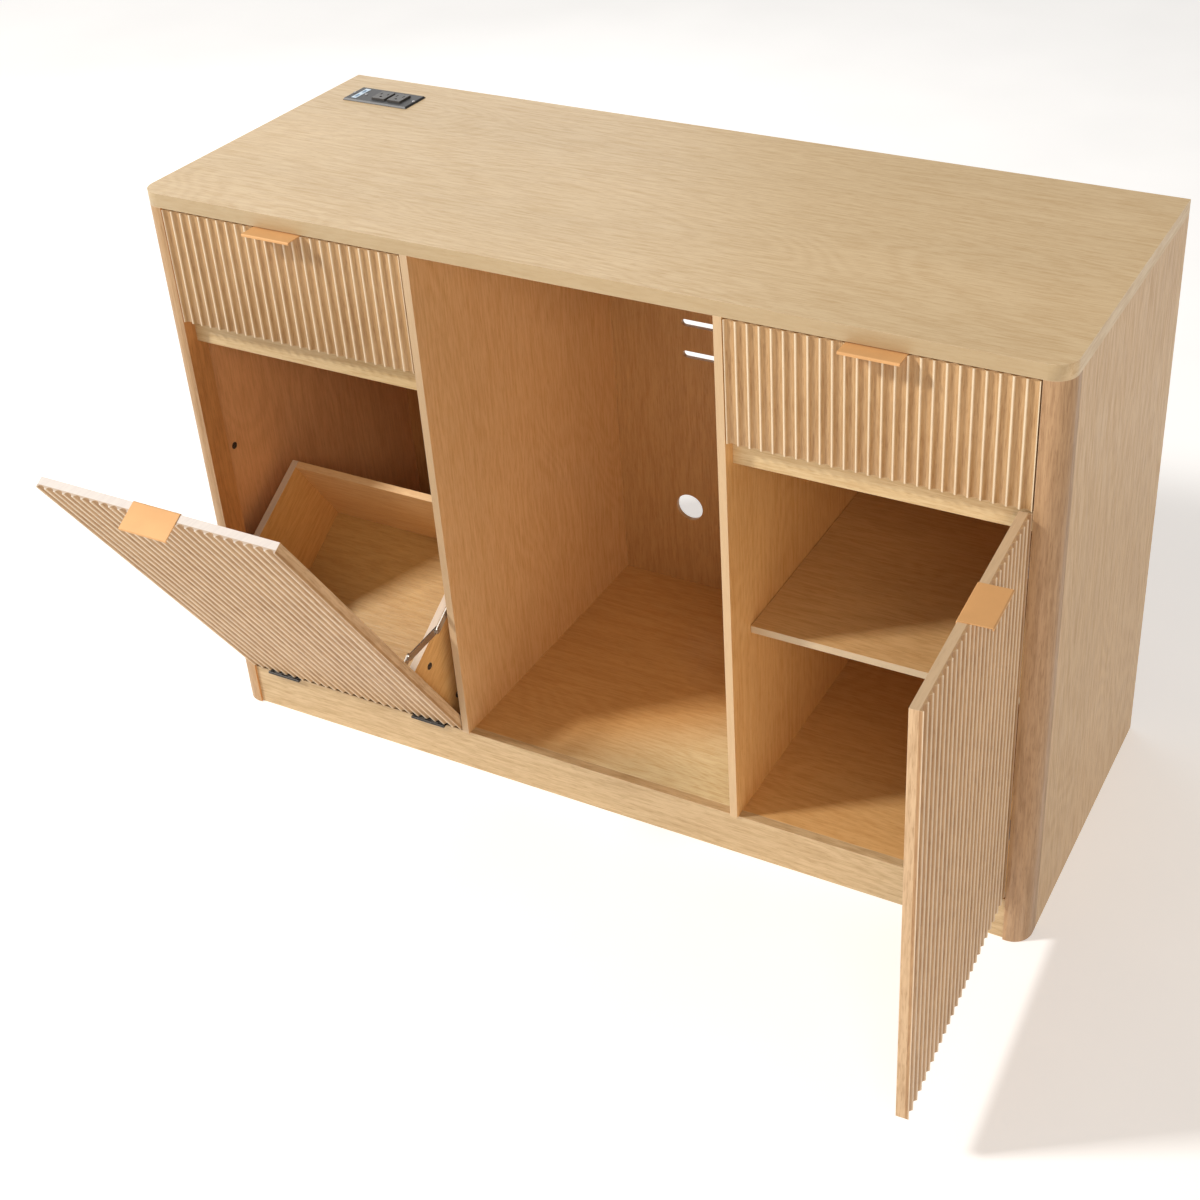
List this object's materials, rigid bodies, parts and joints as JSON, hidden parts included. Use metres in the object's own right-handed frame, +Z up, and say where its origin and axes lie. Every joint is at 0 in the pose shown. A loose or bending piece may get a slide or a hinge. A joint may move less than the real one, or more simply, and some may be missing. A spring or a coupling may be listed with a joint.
{
  "type": "coffee bar cabinet",
  "caption": "Sideboard with a rounded oak carcass, fluted drawers and doors, a tilt-out bin, an open fridge bay, a shelf and a power unit let into the worktop.",
  "frame": {"origin": "on the floor under the centre of the cabinet's footprint, on the underside of the middle floor bearer", "axes": "+X to the viewer's right, +Y to the back, +Z up; the fronts face -Y"},
  "size_m": [1.4, 0.9523, 0.936],
  "materials": {
    "oak_face": "pale oak grain, satin",
    "oak_inside": "warm oak grain, satin",
    "oak_fluted": "fluted pale oak, satin",
    "satin_gold": "satin gold lacquer",
    "zinc_steel": "bright zinc plate",
    "black_steel": "black, satin",
    "black_plastic": "black, fine texture",
    "blue_plastic": "pale blue"
  },
  "bodies": {
    "cabinet": {"top_board": "oak_face", "left_side_panel": "oak_face", "right_side_panel": "oak_face", "left_corner_post": "oak_face", "right_corner_post": "oak_face", "left_divider": "oak_face", "right_divider": "oak_face", "floor_panel": "oak_inside", "back_panel": "oak_inside", "front_plinth": "oak_face", "back_plinth": "oak_face", "floor_bearers": "oak_inside", "drawer_rails": "oak_face", "runner_packers": "oak_inside", "cam_locks": "zinc_steel", "cam_bolts": "zinc_steel", "left_runner_outer": "zinc_steel", "right_runner_outer": "zinc_steel", "butt_plinth_leaves": "black_steel", "butt_pins": "black_steel", "butt_plinth_screws": "zinc_steel", "stay_divider_bracket": "zinc_steel", "hinge_arms": "zinc_steel", "shelf": "oak_inside", "shelf_pins": "zinc_steel", "power_plate": "black_plastic", "power_receptacles": "black_plastic", "power_usb_port": "blue_plastic", "power_housing": "black_plastic", "power_screws": "zinc_steel"},
    "left_drawer": {"left_drawer_front": "oak_fluted", "left_drawer_box": "oak_inside", "left_drawer_bottom": "oak_inside", "left_drawer_pull": "satin_gold", "left_drawer_screws": "zinc_steel", "left_runner_inner": "zinc_steel"},
    "left_runner_slide": {"left_runner_middle": "zinc_steel"},
    "right_drawer": {"right_drawer_front": "oak_fluted", "right_drawer_box": "oak_inside", "right_drawer_bottom": "oak_inside", "right_drawer_pull": "satin_gold", "right_drawer_screws": "zinc_steel", "right_runner_inner": "zinc_steel"},
    "right_runner_slide": {"right_runner_middle": "zinc_steel"},
    "tilt_out": {"tilt_door": "oak_fluted", "tilt_pull": "satin_gold", "tilt_screws": "zinc_steel", "tray_side_walls": "oak_inside", "tray_back_wall": "oak_inside", "tray_floor": "oak_inside", "tray_cam_locks": "zinc_steel", "butt_door_leaves": "black_steel", "stay_door_bracket": "zinc_steel"},
    "lower_link": {"stay_lower_link": "zinc_steel"},
    "upper_link": {"stay_upper_link": "zinc_steel"},
    "hinge_link_pair": {"hinge_links": "zinc_steel"},
    "right_door": {"right_door_panel": "oak_fluted", "right_door_pull": "satin_gold", "right_door_screws": "zinc_steel", "hinge_cups": "zinc_steel"}
  },
  "joints": [
    {"name": "left_drawer_slide", "type": "slide", "parent": "cabinet", "child": "left_drawer", "axis": [0, -1, 0], "range_m": [0, 0.35]},
    {"name": "left_runner_follow", "type": "slide", "parent": "cabinet", "child": "left_runner_slide", "axis": [0, -1, 0], "range_m": [0, 0.175]},
    {"name": "right_drawer_slide", "type": "slide", "parent": "cabinet", "child": "right_drawer", "axis": [0, -1, 0], "range_m": [0, 0.35]},
    {"name": "right_runner_follow", "type": "slide", "parent": "cabinet", "child": "right_runner_slide", "axis": [0, -1, 0], "range_m": [0, 0.175]},
    {"name": "tilt_out_hinge", "type": "hinge", "parent": "cabinet", "child": "tilt_out", "pos_m": [0, -0.2727, 0.076], "axis": [1, 0, 0], "range_deg": [-31.8, 0]},
    {"name": "stay_lower_pivot", "type": "hinge", "parent": "tilt_out", "child": "lower_link", "pos_m": [-0.2509, -0.36505, 0.28701], "axis": [1, 0, 0], "range_deg": [-34.91, 0]},
    {"name": "stay_upper_pivot", "type": "hinge", "parent": "cabinet", "child": "upper_link", "pos_m": [-0.2483, -0.2, 0.349], "axis": [1, 0, 0], "range_deg": [0, 53.5]},
    {"name": "right_door_hinge", "type": "hinge", "parent": "cabinet", "child": "right_door", "pos_m": [0.661, -0.268, 0.4], "axis": [0, 0, 1], "range_deg": [-92.5, 0]},
    {"name": "hinge_link_pivot", "type": "hinge", "parent": "cabinet", "child": "hinge_link_pair", "pos_m": [0.6405, -0.257, 0.4], "axis": [0, 0, 1], "range_deg": [-99.75, 0]}
  ],
  "couplings": [
    {"joint": "hinge_link_pivot", "follows": "right_door_hinge", "ratio": 1.0782},
    {"joint": "left_runner_follow", "follows": "left_drawer_slide", "ratio": 0.5},
    {"joint": "right_runner_follow", "follows": "right_drawer_slide", "ratio": 0.5},
    {"joint": "stay_lower_pivot", "follows": "tilt_out_hinge", "ratio": 1.0975},
    {"joint": "stay_upper_pivot", "follows": "tilt_out_hinge", "ratio": -1.6821}
  ]
}
